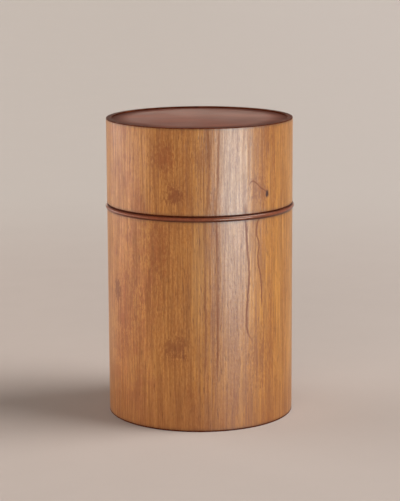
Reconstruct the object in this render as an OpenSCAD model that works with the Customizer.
// Round tea caddy of rolled cherry veneer with polished bark trim. A lift-off lid slides over a
// friction neck, and a loose inner lid rests on the neck's rim.
// The origin is the centre of the underside and +Z is up. Every piece is turned about the Z axis.

/* [Outside] */
// Diameter across the veneer
caddy_d = 80; // [72:1:90]
// Height over the lid's rim
caddy_h = 128.5; // [118:0.5:145]
// Height of the lid, from its mouth to its rim
lid_h = 36.7; // [34:0.1:42]

/* [Wall build-up] */
// Thickness of the outer cherry veneer
veneer_t = 0.6; // [0.4:0.05:0.7]
// Thickness of each rolled core ply in the body's wall
body_ply_t = 0.8; // [0.7:0.05:1]
// Thickness of one sheet of polished bark
bark_t = 0.3; // [0.2:0.05:0.4]
// Thickness of the neck tube's wood where it stands out of the body
neck_t = 0.6; // [0.5:0.05:0.9]
// Thickness of the base board
base_board_t = 3; // [2:0.1:5]
// Thickness of the lid's top board
top_board_t = 3.2; // [2:0.1:4]
// Glue line round each disc, peg or rim that is let into another piece
glue_gap = 0.05; // [0.03:0.01:0.08]

/* [Bark trim] */
// How far the half-round bead at the joint stands proud of the wall
bead_proud = 0.65; // [0.4:0.05:0.9]
// Height of the bead
bead_h = 2; // [1.9:0.1:2.6]
// Shadow gap between the bead and the lid's mouth
bead_gap = 0.25; // [0.1:0.05:0.4]
// Width of the raised rim round the top
rim_w = 2.3; // [1.6:0.1:3]
// Height of the rim above the top panel
rim_step = 0.5; // [0.3:0.05:0.7]
// Height of the rim's dark edge that shows on the side
rim_edge_h = 0.35; // [0.3:0.05:0.45]
// Thickness of the bark panel in the top
panel_t = 0.4; // [0.3:0.05:0.6]
// Thickness of the bark facing under the base
base_edge_h = 0.55; // [0.5:0.05:0.8]
// Rounding of the bark edges
edge_r = 0.2; // [0.1:0.02:0.24]

/* [Neck and inner lid] */
// Height of the neck above the body's shoulder
neck_h = 21.9; // [16:0.1:24]
// Thickness of the bark edging on the neck's rim
neck_rim_t = 0.5; // [0.5:0.05:0.7]
// Running gap between the neck and the lid
lid_gap = 0.15; // [0.1:0.01:0.2]
// Running gap between the neck and the inner lid's plug
plug_gap = 0.2; // [0.1:0.02:0.4]
// Depth of the inner lid's plug below the neck's rim
plug_h = 5.3; // [4:0.1:8]
// Thickness of the inner lid's flange
flange_t = 1.8; // [1.2:0.1:2.4]
// How far the flange stops short of the neck's outer face
flange_inset = 0.4; // [0.2:0.05:0.6]
// Diameter of the knob
knob_d = 15; // [12:0.5:20]
// Diameter of the knob's peg
peg_d = 4; // [3:0.5:5]
// Clear height between the knob and the lid's ceiling
knob_clear = 1.2; // [0.8:0.1:2]

/* [Hidden] */
$fn = 128;

veneer_color = [0.68, 0.47, 0.31];
core_color = [0.80, 0.66, 0.49];
bark_color = [0.33, 0.13, 0.08];
lining_color = [0.42, 0.20, 0.13];

// Radii of the body's wall, from the outside in
outer_r = caddy_d / 2;
veneer_in_r = outer_r - veneer_t;
body_ply_mid_r = veneer_in_r - body_ply_t;
neck_seat_r = body_ply_mid_r - body_ply_t;
neck_wood_r = neck_seat_r - bark_t;
neck_in_r = neck_wood_r - neck_t;
chamber_r = neck_in_r - bark_t;

// Radii of the lid's wall, from the inside out
lid_bore_r = neck_seat_r + lid_gap;
lid_lining_r = lid_bore_r + bark_t;
lid_ply_mid_r = (lid_lining_r + veneer_in_r) / 2;

// Levels of the body
floor_z = base_edge_h + base_board_t;
shoulder_z = caddy_h - lid_h;
ply_top_z = shoulder_z - bark_t;
bead_top_z = shoulder_z - bead_gap;
bead_z = bead_top_z - bead_h;
neck_top_z = shoulder_z + neck_h;
neck_wood_top_z = neck_top_z - neck_rim_t;

// Levels of the lid
mouth_edge_z = shoulder_z + bark_t;
rim_edge_z = caddy_h - rim_edge_h;
panel_top_z = caddy_h - rim_step;
board_top_z = panel_top_z - panel_t;
board_z = board_top_z - top_board_t;
ceiling_z = board_z - bark_t;
rim_in_r = outer_r - rim_w;

// Inner lid
plug_r = chamber_r - plug_gap;
plug_wood_r = plug_r - bark_t;
plug_z = neck_top_z - plug_h;
flange_r = neck_seat_r - flange_inset;
flange_top_z = neck_top_z + flange_t;
knob_z = flange_top_z + bark_t;
knob_h = ceiling_z - knob_clear - knob_z;
cap_t = knob_h * 0.46;
stem_r = knob_d * 0.25;
foot_r = knob_h * 0.2;
peg_z = plug_z + plug_h * 0.25;
peg_top_z = knob_z + knob_h * 0.6;

// The half-round bead is an arc through both corners of the band, at its full projection
bead_arc_r = (pow(bead_h / 2, 2) + pow(bead_proud, 2)) / (2 * bead_proud);

// Plain tube between two radii, from one level to another
module tube(r_in, r_out, z_low, z_high) {
    rotate_extrude()
        translate([r_in, z_low])
            square([r_out - r_in, z_high - z_low]);
}

// Plain disc from one level to another
module disc(r, z_low, z_high) {
    translate([0, 0, z_low])
        cylinder(r = r, h = z_high - z_low);
}

// Band whose two upper corners are rounded; its lower left corner is at the origin
module soft_top_band(w, h) {
    intersection() {
        square([w, h]);
        union() {
            square([w, h - edge_r]);
            translate([edge_r, 0])
                square([w - 2 * edge_r, h]);
            for (x = [edge_r, w - edge_r])
                translate([x, h - edge_r])
                    circle(r = edge_r, $fn = 32);
        }
    }
}

module base_bark_facing() {
    color(bark_color)
        rotate_extrude() {
            square([outer_r - edge_r, base_edge_h]);
            translate([0, edge_r])
                square([outer_r, base_edge_h - edge_r]);
            translate([outer_r - edge_r, edge_r])
                circle(r = edge_r, $fn = 32);
        }
}

module base_board() {
    color(core_color)
        disc(neck_seat_r - glue_gap, base_edge_h, floor_z);
}

module body_core_inner_ply() {
    color(core_color)
        tube(neck_seat_r, body_ply_mid_r, base_edge_h, ply_top_z);
}

module body_core_outer_ply() {
    color(core_color)
        tube(body_ply_mid_r, veneer_in_r, base_edge_h, ply_top_z);
}

module body_outer_veneer() {
    color(veneer_color)
        tube(veneer_in_r, outer_r, base_edge_h, bead_z);
}

// Half-round strip let into the mouth of the body, level with the end of the veneer
module joint_bead() {
    color(bark_color)
        rotate_extrude()
            intersection() {
                translate([veneer_in_r + glue_gap, bead_z])
                    square([veneer_t + bead_proud - glue_gap, bead_h]);
                translate([outer_r + bead_proud - bead_arc_r, bead_z + bead_h / 2])
                    circle(r = bead_arc_r);
            }
}

module shoulder_edging() {
    color(bark_color)
        tube(neck_seat_r, veneer_in_r, ply_top_z, shoulder_z);
}

// The tube is thick inside the body, and steps in by one bark sheet above the shoulder
module neck_tube() {
    color(core_color)
        rotate_extrude() {
            translate([neck_in_r, floor_z])
                square([neck_seat_r - neck_in_r, shoulder_z - floor_z]);
            translate([neck_in_r, floor_z])
                square([neck_t, neck_wood_top_z - floor_z]);
        }
}

module neck_bark_facing() {
    color(bark_color)
        tube(neck_wood_r, neck_seat_r, shoulder_z, neck_wood_top_z);
}

module neck_rim_edging() {
    color(bark_color)
        rotate_extrude()
            translate([chamber_r, neck_wood_top_z])
                soft_top_band(neck_seat_r - chamber_r, neck_rim_t);
}

module chamber_bark_lining() {
    color(lining_color)
        tube(chamber_r, neck_in_r, floor_z + bark_t, neck_wood_top_z);
}

module floor_bark_lining() {
    color(lining_color)
        disc(neck_in_r - glue_gap, floor_z, floor_z + bark_t);
}

module lid_mouth_edging() {
    color(bark_color)
        tube(lid_bore_r, outer_r, shoulder_z, mouth_edge_z);
}

module lid_bark_lining() {
    color(lining_color)
        tube(lid_bore_r, lid_lining_r, mouth_edge_z, ceiling_z);
}

module lid_core_inner_ply() {
    color(core_color)
        tube(lid_lining_r, lid_ply_mid_r, mouth_edge_z, board_top_z);
}

module lid_core_outer_ply() {
    color(core_color)
        tube(lid_ply_mid_r, veneer_in_r, mouth_edge_z, board_top_z);
}

module lid_outer_veneer() {
    color(veneer_color)
        tube(veneer_in_r, outer_r, mouth_edge_z, rim_edge_z);
}

module lid_top_board() {
    color(core_color)
        disc(lid_lining_r - glue_gap, board_z, board_top_z);
}

module lid_ceiling_lining() {
    color(lining_color)
        disc(lid_lining_r - glue_gap, ceiling_z, board_z);
}

module lid_top_bark_panel() {
    color(bark_color)
        disc(rim_in_r - glue_gap, board_top_z, panel_top_z);
}

// The rim stands on the plies inside the veneer, and its upper edge laps over the veneer
module lid_top_rim() {
    color(bark_color)
        rotate_extrude() {
            translate([rim_in_r, rim_edge_z])
                soft_top_band(rim_w, rim_edge_h);
            translate([rim_in_r, board_top_z])
                square([veneer_in_r - glue_gap - rim_in_r, rim_edge_z - board_top_z]);
        }
}

module inner_lid_plug() {
    color(core_color)
        difference() {
            disc(plug_wood_r, plug_z + bark_t, neck_top_z);
            disc(peg_d / 2, peg_z, flange_top_z);
        }
}

module inner_lid_plug_band() {
    color(bark_color)
        tube(plug_wood_r, plug_r, plug_z + bark_t, neck_top_z);
}

module inner_lid_flange() {
    color(core_color)
        tube(peg_d / 2, flange_r, neck_top_z, flange_top_z);
}

module inner_lid_top_facing() {
    color(bark_color)
        tube(peg_d / 2, flange_r, flange_top_z, knob_z);
}

module inner_lid_bottom_facing() {
    color(lining_color)
        disc(plug_r, plug_z, plug_z + bark_t);
}

// Turned button with a half-round edge, on a stem that flares into a foot
module inner_lid_knob() {
    color(core_color)
        difference() {
            translate([0, 0, knob_z])
                rotate_extrude() {
                    square([stem_r, knob_h]);
                    difference() {
                        square([stem_r + foot_r, foot_r]);
                        translate([stem_r + foot_r, foot_r])
                            circle(r = foot_r, $fn = 48);
                    }
                    translate([0, knob_h - cap_t])
                        square([(knob_d - cap_t) / 2, cap_t]);
                    translate([(knob_d - cap_t) / 2, knob_h - cap_t / 2])
                        circle(r = cap_t / 2, $fn = 48);
                }
            disc(peg_d / 2, plug_z, peg_top_z);
        }
}

module knob_peg() {
    color(core_color)
        disc(peg_d / 2 - glue_gap, peg_z, peg_top_z);
}

base_bark_facing();
base_board();
body_core_inner_ply();
body_core_outer_ply();
body_outer_veneer();
joint_bead();
shoulder_edging();
neck_tube();
neck_bark_facing();
neck_rim_edging();
chamber_bark_lining();
floor_bark_lining();
lid_mouth_edging();
lid_bark_lining();
lid_core_inner_ply();
lid_core_outer_ply();
lid_outer_veneer();
lid_top_board();
lid_ceiling_lining();
lid_top_bark_panel();
lid_top_rim();
inner_lid_plug();
inner_lid_plug_band();
inner_lid_flange();
inner_lid_top_facing();
inner_lid_bottom_facing();
inner_lid_knob();
knob_peg();
